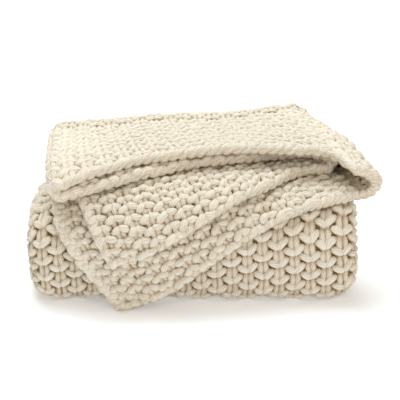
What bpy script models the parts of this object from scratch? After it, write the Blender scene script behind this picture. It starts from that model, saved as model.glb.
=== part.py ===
"""A chunky knitted blanket, folded for a shelf.

It is one sheet with no separate edging. Across its width it is folded in half and in half again,
which makes a band of four panels. The band is then folded in three along its length: a top run,
a middle run and a bottom run, joined by a turn at the back and a turn at the front. At the front
of the top run the two free corners of the sheet are pulled out slantwise and hang over the
front turn. The stack stands on its bottom run, on the plane z = 0.

All sizes are in metres, +X is right, +Y is back and +Z is up. The tables measure y from the
front of the stack; the mesh is then moved so that the origin is under its middle.
"""

import math
from collections import namedtuple

import bmesh
import bpy
import numpy as np

# The sheet and its stack.
THICKNESS = 0.0102          # one layer of the knitting
PITCH = 0.0161              # from one layer to the next in the stack
ROUNDNESS = 2.6             # of the wide turns: 2 is round, and more is squarer
FOOT_ROUNDNESS = 3.8        # of the lower half of the front turn, which the weight squashes
WIDE_TURN = 3.5             # radius from which a turn is wide, in pitches
FRONT_TURN_Y = 0.0644       # where the runs start to turn at the front
BACK_TURN_Y = 0.186         # and at the back
BOTTOM_LEVEL = THICKNESS / 2
MIDDLE_X, MIDDLE_Y = 0.00310, 0.10918    # the middle of the stack, as the tables measure

# The heights of the middle of each run, and of each turn's axis, in pitches.
TOP_RUN, MIDDLE_RUN, BOTTOM_RUN = 10, 6, 2
BACK_AXIS, FRONT_AXIS = 8, 4
TURN = 2                    # radius of the band's middle at a turn, in pitches

# How far each panel lies above the middle of the band in the top run, in pitches.
LOWER, UPPER, INNER, TOP = -1.5, -0.5, 0.5, 1.5

# Guide lines of the top run. Row by row from the cast-on edge (part 0) to the back turn
# (part 1): x, and the distance behind the start of the front turn, measured along the layer,
# which is negative where the layer goes down over the front.
Guide = namedtuple("Guide", "part x run")
OUTER_FOLD_ABOVE = (
    Guide(0.00, 0.1830, -0.052),
    Guide(0.25, 0.1660, -0.006),
    Guide(0.50, 0.1505, 0.038),
    Guide(1.00, 0.1170, 0.1216),
)
OUTER_FOLD_BELOW = (
    Guide(0.00, 0.1830, -0.034),
    Guide(0.25, 0.1660, 0.006),
    Guide(0.50, 0.1505, 0.046),
    Guide(1.00, 0.1170, 0.1216),
)
INNER_FOLD_ABOVE = (
    Guide(0.00, 0.1470, 0.018),
    Guide(0.50, 0.1330, 0.071),
    Guide(1.00, 0.1170, 0.1216),
)
INNER_FOLD_BELOW = (
    Guide(0.00, 0.1470, 0.014),
    Guide(0.50, 0.1330, 0.069),
    Guide(1.00, 0.1170, 0.1216),
)
LEFT_FOLD_ABOVE = (
    Guide(0.00, -0.1585, -0.077),
    Guide(0.20, -0.1630, -0.041),
    Guide(0.45, -0.1690, 0.010),
    Guide(1.00, -0.1750, 0.1216),
)
LEFT_FOLD_BELOW = (
    Guide(0.00, -0.1585, -0.073),
    Guide(0.20, -0.1630, -0.039),
    Guide(0.45, -0.1690, 0.009),
    Guide(1.00, -0.1750, 0.1216),
)
UPPER_SELVEDGE = (
    Guide(0.00, -0.1010, -0.138),
    Guide(0.30, -0.1365, -0.060),
    Guide(0.60, -0.1580, 0.018),
    Guide(1.00, -0.1700, 0.1216),
)
LOWER_SELVEDGE = (
    Guide(0.00, -0.0890, -0.178),
    Guide(0.24, -0.1320, -0.114),
    Guide(0.40, -0.1560, -0.066),
    Guide(0.62, -0.1700, 0.005),
    Guide(1.00, -0.1750, 0.1216),
)

# How far the cast-on edge of each panel strays, along the layer, from a straight line between
# its two sides. Across runs from 0 at the panel's right side to 1 at its left.
Stray = namedtuple("Stray", "across run")
CAST_ON_EDGE = {
    TOP: (
        Stray(0.00, 0.000),
        Stray(0.10, 0.034),
        Stray(0.19, 0.050),
        Stray(0.36, 0.055),
        Stray(0.60, 0.052),
        Stray(0.74, 0.046),
        Stray(0.84, 0.029),
        Stray(0.92, 0.014),
        Stray(1.00, 0.000),
    ),
    INNER: (
        Stray(0.00, 0.000),
        Stray(0.17, 0.012),
        Stray(0.33, 0.019),
        Stray(0.48, 0.025),
        Stray(0.63, 0.021),
        Stray(0.73, 0.017),
        Stray(0.84, 0.007),
        Stray(1.00, 0.000),
    ),
    UPPER: (
        Stray(0.00, 0.000),
        Stray(0.09, 0.014),
        Stray(0.18, 0.013),
        Stray(0.27, 0.000),
        Stray(0.40, -0.005),
        Stray(0.56, -0.011),
        Stray(0.80, -0.012),
        Stray(1.00, 0.000),
    ),
    LOWER: (
        Stray(0.00, 0.000),
        Stray(0.11, 0.006),
        Stray(0.24, 0.014),
        Stray(0.45, 0.012),
        Stray(0.68, 0.003),
        Stray(0.85, -0.005),
        Stray(1.00, 0.000),
    ),
}

# Across the stack below the top run.
Across = namedtuple("Across", "top_back front")
FOLD_X = Across(0.1170, 0.1570)            # axis of both right-hand folds
LEFT_FOLD_X = Across(-0.1750, -0.1640)     # axis of the left-hand fold
UPPER_SELVEDGE_X = Across(-0.1700, -0.1670)
LOWER_SELVEDGE_X = Across(-0.1750, -0.1765) # where the lowest panel starts to curl
CURL_SHORT, CURL_LONG = 0.007, 0.0490       # strip outside it, flat and curled
CURL_ANGLE = math.radians(120)
INNER_FOLD_INSET = 0.003

# Where the bottom run ends, panel by panel.
CAST_OFF_Y = {LOWER: 0.194, UPPER: 0.185, INNER: 0.191, TOP: 0.183}

# What makes the stack uneven.
LEFT_SAG = 0.095            # share of the height lost at the left end
SAG_FROM, SAG_TO = 0.145, -0.190
BACK_TILT, BACK_LEVEL = 0.045, 0.10    # the back leans further left, about this share of the width
BACK_TILT_FROM, BACK_TILT_TO = 0.060, 0.180
TIP_DROP = 0.0115           # the right-hand front tip hangs, its top layer by this much
TIP_X_FROM, TIP_X_TO = 0.060, 0.170
TIP_Y_FROM, TIP_Y_TO = 0.100, 0.025
FLOOR_BEND = 0.014          # radius where the lowest corner bends out on the floor
FLAT_BELOW = 0.0008         # what lies lower than this touches the floor

# Slow waves: of the height, as shares of it, and of the sideways place, in metres.
Wave = namedtuple("Wave", "size per_x per_y per_z phase")
HEIGHT_WAVES = (Wave(0.007, 31, 17, 0, 0.6), Wave(0.006, -43, 22, 0, 2.0))
SIDE_WAVES = (Wave(0.0011, 0, 38, -24, 2.0), Wave(0.0012, 0, 9, 55, 0.0))

# How finely each stretch of the sheet is divided.
PANEL_STEPS = {LOWER: 12, TOP: 12, INNER: 9, UPPER: 9}
CURL_STEPS, OUTER_FOLD_STEPS, LEFT_FOLD_STEPS, INNER_FOLD_STEPS = 3, 6, 4, 4
TOP_RUN_PARTS = (0, 0.08, 0.16, 0.24, 0.31, 0.38, 0.45, 0.52, 0.59, 0.67, 0.75, 0.83, 0.91, 1)
TURN_STEPS, MIDDLE_STEPS, BOTTOM_STEPS = 8, 4, 4

Spot = namedtuple("Spot", "x run level cast_off_y")


def turn_sine(angle, roundness=ROUNDNESS):
    return np.abs(np.sin(angle)) ** (2 / roundness)


def turn_cosine(angle, roundness=ROUNDNESS):
    return np.sign(np.cos(angle)) * np.abs(np.cos(angle)) ** (2 / roundness)


def turn(radius, part, lower_half=ROUNDNESS):
    """How far out and up a half turn has come, given its radius in pitches."""
    wide = lower_half if part > 0.5 else ROUNDNESS
    roundness = 2 + (wide - 2) * ease((radius - 1) / (WIDE_TURN - 1))
    angle = math.pi * part
    return (
        radius * PITCH * turn_sine(angle, roundness),
        radius * PITCH * turn_cosine(angle, roundness),
    )


def quarter_lengths(samples=96):
    """Lengths along a quarter of a wide turn of radius 1, and the angles at which they come."""
    angles = np.linspace(0, math.pi / 2, samples)
    points = np.stack([turn_sine(angles), turn_cosine(angles)], axis=1)
    steps = np.linalg.norm(np.diff(points, axis=0), axis=1)
    return np.concatenate([[0], np.cumsum(steps)]), angles


QUARTER, QUARTER_ANGLES = quarter_lengths()


def ease(value):
    """0 to 1, with a level start and end."""
    value = min(max(value, 0.0), 1.0)
    return value * value * (3 - 2 * value)


def between(start, end, share):
    return start + (end - start) * share


def follow(rows, at):
    """A smooth line through a table whose first column is the place: the others at that place."""
    places = [row[0] for row in rows]
    i = min(max(int(np.searchsorted(places, at)) - 1, 0), len(places) - 2)
    span = places[i + 1] - places[i]
    t = (at - places[i]) / span
    found = []
    for values in list(zip(*rows))[1:]:
        slopes = np.gradient(values, places)
        found.append(
            (2 * t**3 - 3 * t**2 + 1) * values[i]
            + (t**3 - 2 * t**2 + t) * span * slopes[i]
            + (3 * t**2 - 2 * t**3) * values[i + 1]
            + (t**3 - t**2) * span * slopes[i + 1]
        )
    return found


def over_the_front(run, level):
    """y and z of a layer of the top run, which goes down over the front where run is negative."""
    radius = (TOP_RUN - FRONT_AXIS + level) * PITCH
    axis = FRONT_AXIS * PITCH
    if run >= 0:
        return FRONT_TURN_Y + run, axis + radius
    quarter = QUARTER[-1] * radius
    if -run <= quarter:
        angle = np.interp(-run / radius, QUARTER, QUARTER_ANGLES)
        return FRONT_TURN_Y - radius * turn_sine(angle), axis + radius * turn_cosine(angle)
    down = -run - quarter
    bend_from = axis - BOTTOM_LEVEL - FLOOR_BEND
    if down <= bend_from:
        return FRONT_TURN_Y - radius, axis - down
    bend = min((down - bend_from) / FLOOR_BEND, math.pi / 2)
    out = down - bend_from - bend * FLOOR_BEND
    return (
        FRONT_TURN_Y - radius - FLOOR_BEND * (1 - math.cos(bend)) - out,
        BOTTOM_LEVEL + FLOOR_BEND * (1 - math.sin(bend)),
    )


def waves(rows, x, y, z):
    return sum(w.size * math.sin(w.per_x * x + w.per_y * y + w.per_z * z + w.phase) for w in rows)


def stack_place(stage, part, spot):
    """y and z of a spot of the band at a stage of its way through the stack."""
    if stage == "top":
        return over_the_front(spot.run, spot.level)
    if stage == "back turn":
        out, up = turn(TURN + spot.level, part)
        return BACK_TURN_Y + out, BACK_AXIS * PITCH + up
    if stage == "middle":
        return between(BACK_TURN_Y, FRONT_TURN_Y, part), (MIDDLE_RUN - spot.level) * PITCH
    if stage == "front turn":
        out, up = turn(TURN - spot.level, part, FOOT_ROUNDNESS)
        return FRONT_TURN_Y - out, FRONT_AXIS * PITCH + up
    return between(FRONT_TURN_Y, spot.cast_off_y, part), (BOTTOM_RUN + spot.level) * PITCH


def settle(stage, spot, y, z):
    """The uneven way in which the stack has sunk, and the hanging tip of the top run."""
    x = spot.x
    z -= PITCH / 2 - BOTTOM_LEVEL
    lean = min(max((SAG_FROM - x) / (SAG_FROM - SAG_TO), 0), 1)
    back = ease((y - BACK_TILT_FROM) / (BACK_TILT_TO - BACK_TILT_FROM))
    tilt = BACK_TILT * (lean - BACK_LEVEL) * back
    height = (z - BOTTOM_LEVEL) * (1 - LEFT_SAG * lean - tilt + waves(HEIGHT_WAVES, x, y, z))
    if stage == "top":
        tip = ease((x - TIP_X_FROM) / (TIP_X_TO - TIP_X_FROM))
        tip *= ease((y - TIP_Y_FROM) / (TIP_Y_TO - TIP_Y_FROM))
        height -= TIP_DROP * tip * (spot.level - LOWER + 0.5) / (TOP - LOWER + 0.5)
    x += waves(SIDE_WAVES, x, y, z)
    return x - MIDDLE_X, y - MIDDLE_Y, BOTTOM_LEVEL + max(height, 0)


def panel_sides(level, stage, part):
    """The spots at the right and left side of a panel."""
    cast_off = CAST_OFF_Y[level]
    if stage == "top":
        right, left = {
            LOWER: (OUTER_FOLD_BELOW, LOWER_SELVEDGE),
            TOP: (OUTER_FOLD_ABOVE, LEFT_FOLD_ABOVE),
            INNER: (INNER_FOLD_ABOVE, LEFT_FOLD_BELOW),
            UPPER: (INNER_FOLD_BELOW, UPPER_SELVEDGE),
        }[level]
        return [Spot(*follow(line, part), level, cast_off) for line in (right, left)]
    forward = {"back turn": 0, "middle": ease(part)}.get(stage, 1)
    right = between(FOLD_X.top_back, FOLD_X.front, forward)
    left = {LOWER: LOWER_SELVEDGE_X, UPPER: UPPER_SELVEDGE_X}.get(level, LEFT_FOLD_X)
    left = between(*left, forward)
    if level in (INNER, UPPER):
        right -= INNER_FOLD_INSET * forward
    return [Spot(x, 0, level, cast_off) for x in (right, left)]


def panel_spot(level, stage, part, across):
    """A spot of a panel, with across running from its right side to its left."""
    right, left = panel_sides(level, stage, part)
    run = between(right.run, left.run, across)
    if stage == "top":
        run += follow(CAST_ON_EDGE[level], across)[0] * (1 - part) ** 2
    return Spot(between(right.x, left.x, across), run, level, right.cast_off_y)


def fold_spot(start, end, side, share):
    """A spot of the half-round fold that joins two panels, bulging to side 1 or -1."""
    angle = math.pi * share
    radius = abs(end.level - start.level) / 2 * PITCH
    turned = (1 - math.cos(angle)) / 2
    return Spot(
        between(start.x, end.x, turned) + side * radius * math.sin(angle),
        between(start.run, end.run, turned),
        between(start.level, end.level, turned),
        between(start.cast_off_y, end.cast_off_y, turned),
    )


def curl_spot(stage, part, share):
    """A spot of the strip along the lowest panel's selvedge, which curls round the left end."""
    start = panel_sides(LOWER, stage, part)[1]
    if stage == "top":
        inward = panel_spot(LOWER, stage, part, 0.95)
        reach = math.hypot(start.x - inward.x, start.run - inward.run)
        step = CURL_SHORT * share / reach
        return start._replace(
            x=start.x + (start.x - inward.x) * step,
            run=start.run + (start.run - inward.run) * step,
        )
    curl = {"back turn": 0, "middle": ease(part)}.get(stage, 1)
    width = between(CURL_SHORT, CURL_LONG, curl) * share
    bend = max(CURL_ANGLE * curl, 1e-4)
    radius = between(CURL_SHORT, CURL_LONG, curl) / bend
    angle = width / radius
    return start._replace(
        x=start.x - radius * math.sin(angle),
        level=LOWER + radius * (1 - math.cos(angle)) / PITCH,
    )


def spots_across(stage, part):
    """The spots of one row of the sheet, from the lowest panel's selvedge to the other one."""
    spots = [curl_spot(stage, part, 1 - i / CURL_STEPS) for i in range(CURL_STEPS)]

    def panel(level, rightward):
        steps = PANEL_STEPS[level]
        shares = [i / steps for i in range(steps + 1)]
        if rightward:
            shares.reverse()
        spots.extend(panel_spot(level, stage, part, share) for share in shares)

    def fold(level, next_level, side, steps):
        index = 0 if side > 0 else 1
        start = panel_sides(level, stage, part)[index]
        end = panel_sides(next_level, stage, part)[index]
        spots.extend(fold_spot(start, end, side, i / steps) for i in range(1, steps))

    panel(LOWER, rightward=True)
    fold(LOWER, TOP, 1, OUTER_FOLD_STEPS)
    panel(TOP, rightward=False)
    fold(TOP, INNER, -1, LEFT_FOLD_STEPS)
    panel(INNER, rightward=True)
    fold(INNER, UPPER, 1, INNER_FOLD_STEPS)
    panel(UPPER, rightward=False)
    return spots


def stages():
    """The stations along the sheet, from the cast-on edge to the cast-off edge."""
    rows = [("top", part) for part in TOP_RUN_PARTS]
    rows += [("back turn", i / TURN_STEPS) for i in range(1, TURN_STEPS)]
    rows += [("middle", i / MIDDLE_STEPS) for i in range(MIDDLE_STEPS + 1)]
    rows += [("front turn", i / TURN_STEPS) for i in range(1, TURN_STEPS)]
    rows += [("bottom", i / BOTTOM_STEPS) for i in range(BOTTOM_STEPS + 1)]
    return rows


def clear_scene():
    for obj in list(bpy.data.objects):
        bpy.data.objects.remove(obj, do_unlink=True)


def yarn_material():
    material = bpy.data.materials.new("cream_yarn")
    material.use_nodes = True
    shader = material.node_tree.nodes["Principled BSDF"]
    shader.inputs["Base Color"].default_value = (0.83, 0.76, 0.63, 1)
    shader.inputs["Roughness"].default_value = 0.95
    shader.inputs["Metallic"].default_value = 0
    return material


def folded_sheet(collection):
    """A flat grid, laid along the stack row by row and then given its thickness."""
    rows = []
    for stage, part in stages():
        rows.append([
            settle(stage, spot, *stack_place(stage, part, spot))
            for spot in spots_across(stage, part)
        ])
    along, across = len(rows), len(rows[0])
    mesh = bpy.data.meshes.new("blanket")
    sheet = bmesh.new()
    bmesh.ops.create_grid(sheet, x_segments=across - 1, y_segments=along - 1, size=0.5)
    for vertex in sheet.verts:
        column = round((vertex.co.x + 0.5) * (across - 1))
        row = round((vertex.co.y + 0.5) * (along - 1))
        vertex.co = rows[row][column]
    sheet.to_mesh(mesh)
    sheet.free()
    blanket = bpy.data.objects.new("blanket", mesh)
    collection.objects.link(blanket)
    solidify = blanket.modifiers.new("thickness", "SOLIDIFY")
    solidify.thickness = THICKNESS
    solidify.offset = 0
    solidify.use_even_offset = True
    return blanket


def flatten_foot(blanket):
    """Makes the underside of the bottom run exactly level."""
    graph = bpy.context.evaluated_depsgraph_get()
    mesh = bpy.data.meshes.new_from_object(blanket.evaluated_get(graph))
    blanket.modifiers.clear()
    for vertex in mesh.vertices:
        if vertex.co.z < FLAT_BELOW:
            vertex.co.z = 0
    blanket.data = mesh
    mesh.shade_smooth()
    mesh.set_sharp_from_angle(angle=math.radians(50))


clear_scene()
collection = bpy.data.collections.new("chunky_knit_blanket")
bpy.context.scene.collection.children.link(collection)
blanket = folded_sheet(collection)
flatten_foot(blanket)
blanket.data.materials.append(yarn_material())
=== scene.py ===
"""A chunky knitted blanket, folded for a shelf, with every stitch of what shows.

The blanket is one sheet in seed stitch, worked in one thick roving yarn. Across its width it is
folded in half and in half again; the band of four layers is then folded in three along its
length, and two free corners hang over the front. All sizes are in metres, +X is right, +Y is
back and +Z is up.
"""

import functools
import math
from collections import namedtuple

import bpy
import numpy as np
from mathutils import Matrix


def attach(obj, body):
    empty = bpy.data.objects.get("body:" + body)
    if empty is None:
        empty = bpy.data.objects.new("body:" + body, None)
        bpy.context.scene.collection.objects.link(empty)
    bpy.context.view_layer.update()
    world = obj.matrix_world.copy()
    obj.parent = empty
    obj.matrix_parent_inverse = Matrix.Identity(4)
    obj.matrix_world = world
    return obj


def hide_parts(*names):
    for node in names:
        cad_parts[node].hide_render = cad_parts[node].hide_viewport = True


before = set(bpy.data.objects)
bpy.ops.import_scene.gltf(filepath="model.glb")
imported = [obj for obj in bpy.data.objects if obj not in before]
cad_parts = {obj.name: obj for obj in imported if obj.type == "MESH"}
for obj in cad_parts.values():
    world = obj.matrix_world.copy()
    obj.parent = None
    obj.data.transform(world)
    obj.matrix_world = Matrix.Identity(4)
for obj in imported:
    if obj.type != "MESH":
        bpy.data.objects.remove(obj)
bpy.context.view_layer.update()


# ---- The sheet itself ----------------------------------------------------------------
# One rectangle of knitting, about 1.39 by 0.64 metres. This piece is its middle surface in the
# folds in which it lies, as thick as the yarn is where loops cross. It shows only as the ground
# between the loops, coloured dark brown as painted shade.

PITCH = 0.0161              # from one layer to the next in the stack
THICKNESS = 0.0102          # of the solid that stands for the sheet
ROUNDNESS = 2.6             # of the wide turns: 2 is round, and more is squarer
FOOT_ROUNDNESS = 3.8        # of the lower half of the front turn, which the weight squashes
WIDE_TURN = 3.5             # radius from which a turn is wide, in pitches
FRONT_TURN_Y = 0.0644       # where the runs start to turn at the front
BACK_TURN_Y = 0.186         # and at the back
BOTTOM_LEVEL = THICKNESS / 2
MIDDLE_X, MIDDLE_Y = 0.00310, 0.10918    # the middle of the stack

# The heights of the middle of each run, and of each turn's axis, in pitches.
TOP_RUN, MIDDLE_RUN, BOTTOM_RUN = 10, 6, 2
BACK_AXIS, FRONT_AXIS = 8, 4
TURN = 2                    # radius of the band's middle at a turn, in pitches

# How far each panel lies above the middle of the band in the top run, in pitches.
LOWER, UPPER, INNER, TOP = -1.5, -0.5, 0.5, 1.5

# Guide lines of the top run. Row by row from the cast-on edge (part 0) to the back turn
# (part 1): x, and the distance behind the start of the front turn, measured along the layer,
# which is negative where the layer goes down over the front.
Guide = namedtuple("Guide", "part x run")
OUTER_FOLD_ABOVE = (
    Guide(0.00, 0.1830, -0.052),
    Guide(0.25, 0.1660, -0.006),
    Guide(0.50, 0.1505, 0.038),
    Guide(1.00, 0.1170, 0.1216),
)
OUTER_FOLD_BELOW = (
    Guide(0.00, 0.1830, -0.034),
    Guide(0.25, 0.1660, 0.006),
    Guide(0.50, 0.1505, 0.046),
    Guide(1.00, 0.1170, 0.1216),
)
INNER_FOLD_ABOVE = (
    Guide(0.00, 0.1500, 0.008),
    Guide(0.50, 0.1330, 0.071),
    Guide(1.00, 0.1170, 0.1216),
)
INNER_FOLD_BELOW = (
    Guide(0.00, 0.1500, 0.004),
    Guide(0.50, 0.1330, 0.069),
    Guide(1.00, 0.1170, 0.1216),
)
LEFT_FOLD_ABOVE = (
    Guide(0.00, -0.1585, -0.077),
    Guide(0.20, -0.1630, -0.041),
    Guide(0.45, -0.1690, 0.010),
    Guide(1.00, -0.1750, 0.1216),
)
LEFT_FOLD_BELOW = (
    Guide(0.00, -0.1585, -0.073),
    Guide(0.20, -0.1630, -0.039),
    Guide(0.45, -0.1690, 0.009),
    Guide(1.00, -0.1750, 0.1216),
)
UPPER_SELVEDGE = (
    Guide(0.00, -0.1010, -0.138),
    Guide(0.30, -0.1365, -0.060),
    Guide(0.60, -0.1580, 0.018),
    Guide(1.00, -0.1700, 0.1216),
)
LOWER_SELVEDGE = (
    Guide(0.00, -0.0890, -0.178),
    Guide(0.24, -0.1320, -0.114),
    Guide(0.40, -0.1560, -0.066),
    Guide(0.62, -0.1700, 0.005),
    Guide(1.00, -0.1750, 0.1216),
)

# How far the cast-on edge of each panel strays, along the layer, from a straight line between
# its two sides. Across runs from 0 at the panel's right side to 1 at its left.
Stray = namedtuple("Stray", "across run")
CAST_ON_EDGE = {
    TOP: (
        Stray(0.00, 0.000),
        Stray(0.05, 0.030),
        Stray(0.10, 0.045),
        Stray(0.19, 0.052),
        Stray(0.36, 0.055),
        Stray(0.60, 0.052),
        Stray(0.74, 0.046),
        Stray(0.84, 0.029),
        Stray(0.92, 0.014),
        Stray(1.00, 0.000),
    ),
    INNER: (
        Stray(0.00, 0.000),
        Stray(0.07, 0.018),
        Stray(0.17, 0.025),
        Stray(0.33, 0.022),
        Stray(0.48, 0.025),
        Stray(0.63, 0.021),
        Stray(0.73, 0.017),
        Stray(0.84, 0.007),
        Stray(1.00, 0.000),
    ),
    UPPER: (
        Stray(0.00, 0.000),
        Stray(0.09, 0.014),
        Stray(0.18, 0.013),
        Stray(0.27, 0.000),
        Stray(0.40, -0.005),
        Stray(0.56, -0.011),
        Stray(0.80, -0.012),
        Stray(1.00, 0.000),
    ),
    LOWER: (
        Stray(0.00, 0.000),
        Stray(0.11, 0.006),
        Stray(0.24, 0.014),
        Stray(0.45, 0.012),
        Stray(0.68, 0.003),
        Stray(0.85, -0.005),
        Stray(1.00, 0.000),
    ),
}

# Across the stack below the top run.
Across = namedtuple("Across", "top_back front")
FOLD_X = Across(0.1170, 0.1570)            # axis of both right-hand folds
LEFT_FOLD_X = Across(-0.1750, -0.1640)     # axis of the left-hand fold
UPPER_SELVEDGE_X = Across(-0.1700, -0.1670)
LOWER_SELVEDGE_X = Across(-0.1750, -0.1765)   # where the lowest panel starts to curl
CURL_SHORT, CURL_LONG = 0.007, 0.0490      # strip outside it, flat and curled
CURL_ANGLE, LEAST_CURL = math.radians(120), 1e-4
NEAR_SELVEDGE = 0.95                       # share of a panel that gives the curl its direction
INNER_FOLD_INSET = 0.003                   # of the inner right-hand fold inside the outer one

# Where the bottom run ends, panel by panel.
CAST_OFF_Y = {LOWER: 0.194, UPPER: 0.185, INNER: 0.191, TOP: 0.183}

# What makes the stack uneven.
LEFT_SAG = 0.095            # share of the height lost at the left end
SAG_FROM, SAG_TO = 0.145, -0.190
BACK_TILT = 0.045           # share of the height by which the back leans further left,
BACK_LEVEL = 0.10           # about this share of the width
BACK_TILT_FROM, BACK_TILT_TO = 0.060, 0.180
TIP_DROP = 0.0115           # the right-hand front tip hangs, its top layer by this much
TIP_X_FROM, TIP_X_TO = 0.060, 0.170
TIP_Y_FROM, TIP_Y_TO = 0.100, 0.025
FLOOR_BEND = 0.014          # radius where the lowest corner bends out on the floor

# Slow waves: of the height, as shares of it, and of the sideways place, in metres.
Wave = namedtuple("Wave", "size per_x per_y per_z phase")
HEIGHT_WAVES = (Wave(0.007, 31, 17, 0, 0.6), Wave(0.006, -43, 22, 0, 2.0))
SIDE_WAVES = (Wave(0.0011, 0, 38, -24, 2.0), Wave(0.0012, 0, 9, 55, 0.0))

Spot = namedtuple("Spot", "x run level cast_off_y")


def turn_sine(angle, roundness=ROUNDNESS):
    return np.abs(np.sin(angle)) ** (2 / roundness)


def turn_cosine(angle, roundness=ROUNDNESS):
    return np.sign(np.cos(angle)) * np.abs(np.cos(angle)) ** (2 / roundness)


def ease(value):
    """0 to 1, with a level start and end."""
    value = min(max(value, 0.0), 1.0)
    return value * value * (3 - 2 * value)


def turn(radius, part, lower_half=ROUNDNESS):
    """How far out and up a half turn has come, given its radius in pitches."""
    wide = lower_half if part > 0.5 else ROUNDNESS
    roundness = 2 + (wide - 2) * ease((radius - 1) / (WIDE_TURN - 1))
    angle = math.pi * part
    return (
        radius * PITCH * turn_sine(angle, roundness),
        radius * PITCH * turn_cosine(angle, roundness),
    )


def quarter_lengths(samples=96):
    """Lengths along a quarter of a wide turn of radius 1, and the angles at which they come."""
    angles = np.linspace(0, math.pi / 2, samples)
    points = np.stack([turn_sine(angles), turn_cosine(angles)], axis=1)
    steps = np.linalg.norm(np.diff(points, axis=0), axis=1)
    return np.concatenate([[0], np.cumsum(steps)]), angles


QUARTER, QUARTER_ANGLES = quarter_lengths()


def between(start, end, share):
    return start + (end - start) * share


@functools.cache
def follow(rows, at):
    """A smooth line through a table whose first column is the place: the others at that place."""
    places = [row[0] for row in rows]
    i = min(max(int(np.searchsorted(places, at)) - 1, 0), len(places) - 2)
    span = places[i + 1] - places[i]
    t = (at - places[i]) / span
    found = []
    for values in list(zip(*rows))[1:]:
        slopes = np.gradient(values, places)
        found.append(
            (2 * t**3 - 3 * t**2 + 1) * values[i]
            + (t**3 - 2 * t**2 + t) * span * slopes[i]
            + (3 * t**2 - 2 * t**3) * values[i + 1]
            + (t**3 - t**2) * span * slopes[i + 1]
        )
    return found


def over_the_front(run, level):
    """y and z of a layer of the top run, which goes down over the front where run is negative."""
    radius = (TOP_RUN - FRONT_AXIS + level) * PITCH
    axis = FRONT_AXIS * PITCH
    if run >= 0:
        return FRONT_TURN_Y + run, axis + radius
    quarter = QUARTER[-1] * radius
    if -run <= quarter:
        angle = np.interp(-run / radius, QUARTER, QUARTER_ANGLES)
        return FRONT_TURN_Y - radius * turn_sine(angle), axis + radius * turn_cosine(angle)
    down = -run - quarter
    bend_from = axis - BOTTOM_LEVEL - FLOOR_BEND
    if down <= bend_from:
        return FRONT_TURN_Y - radius, axis - down
    bend = min((down - bend_from) / FLOOR_BEND, math.pi / 2)
    out = down - bend_from - bend * FLOOR_BEND
    return (
        FRONT_TURN_Y - radius - FLOOR_BEND * (1 - math.cos(bend)) - out,
        BOTTOM_LEVEL + FLOOR_BEND * (1 - math.sin(bend)),
    )


def waves(rows, x, y, z):
    return sum(w.size * math.sin(w.per_x * x + w.per_y * y + w.per_z * z + w.phase) for w in rows)


def stack_place(stage, part, spot):
    """y and z of a spot of the band at a stage of its way through the stack."""
    if stage == "top":
        return over_the_front(spot.run, spot.level)
    if stage == "back turn":
        out, up = turn(TURN + spot.level, part)
        return BACK_TURN_Y + out, BACK_AXIS * PITCH + up
    if stage == "middle":
        return between(BACK_TURN_Y, FRONT_TURN_Y, part), (MIDDLE_RUN - spot.level) * PITCH
    if stage == "front turn":
        out, up = turn(TURN - spot.level, part, FOOT_ROUNDNESS)
        return FRONT_TURN_Y - out, FRONT_AXIS * PITCH + up
    return between(FRONT_TURN_Y, spot.cast_off_y, part), (BOTTOM_RUN + spot.level) * PITCH


def settle(stage, spot, y, z):
    """The uneven way in which the stack has sunk, and the hanging tip of the top run."""
    x = spot.x
    z -= PITCH / 2 - BOTTOM_LEVEL
    lean = min(max((SAG_FROM - x) / (SAG_FROM - SAG_TO), 0), 1)
    back = ease((y - BACK_TILT_FROM) / (BACK_TILT_TO - BACK_TILT_FROM))
    tilt = BACK_TILT * (lean - BACK_LEVEL) * back
    height = (z - BOTTOM_LEVEL) * (1 - LEFT_SAG * lean - tilt + waves(HEIGHT_WAVES, x, y, z))
    if stage == "top":
        tip = ease((x - TIP_X_FROM) / (TIP_X_TO - TIP_X_FROM))
        tip *= ease((y - TIP_Y_FROM) / (TIP_Y_TO - TIP_Y_FROM))
        height -= TIP_DROP * tip * (spot.level - LOWER + 0.5) / (TOP - LOWER + 0.5)
    x += waves(SIDE_WAVES, x, y, z)
    return x - MIDDLE_X, y - MIDDLE_Y, BOTTOM_LEVEL + max(height, 0)


@functools.cache
def panel_sides(level, stage, part):
    """The spots at the right and left side of a panel."""
    cast_off = CAST_OFF_Y[level]
    if stage == "top":
        right, left = {
            LOWER: (OUTER_FOLD_BELOW, LOWER_SELVEDGE),
            TOP: (OUTER_FOLD_ABOVE, LEFT_FOLD_ABOVE),
            INNER: (INNER_FOLD_ABOVE, LEFT_FOLD_BELOW),
            UPPER: (INNER_FOLD_BELOW, UPPER_SELVEDGE),
        }[level]
        return [Spot(*follow(line, part), level, cast_off) for line in (right, left)]
    forward = {"back turn": 0, "middle": ease(part)}.get(stage, 1)
    right = between(FOLD_X.top_back, FOLD_X.front, forward)
    left = {LOWER: LOWER_SELVEDGE_X, UPPER: UPPER_SELVEDGE_X}.get(level, LEFT_FOLD_X)
    left = between(*left, forward)
    if level in (INNER, UPPER):
        right -= INNER_FOLD_INSET * forward
    return [Spot(x, 0, level, cast_off) for x in (right, left)]


def panel_spot(level, stage, part, across):
    """A spot of a panel, with across running from its right side to its left."""
    right, left = panel_sides(level, stage, part)
    run = between(right.run, left.run, across)
    if stage == "top":
        run += follow(CAST_ON_EDGE[level], across)[0] * (1 - part) ** 2
    return Spot(between(right.x, left.x, across), run, level, right.cast_off_y)


def fold_spot(start, end, side, share):
    """A spot of the half-round fold that joins two panels, bulging to side 1 or -1."""
    angle = math.pi * share
    radius = abs(end.level - start.level) / 2 * PITCH
    turned = (1 - math.cos(angle)) / 2
    return Spot(
        between(start.x, end.x, turned) + side * radius * math.sin(angle),
        between(start.run, end.run, turned),
        between(start.level, end.level, turned),
        between(start.cast_off_y, end.cast_off_y, turned),
    )


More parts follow.
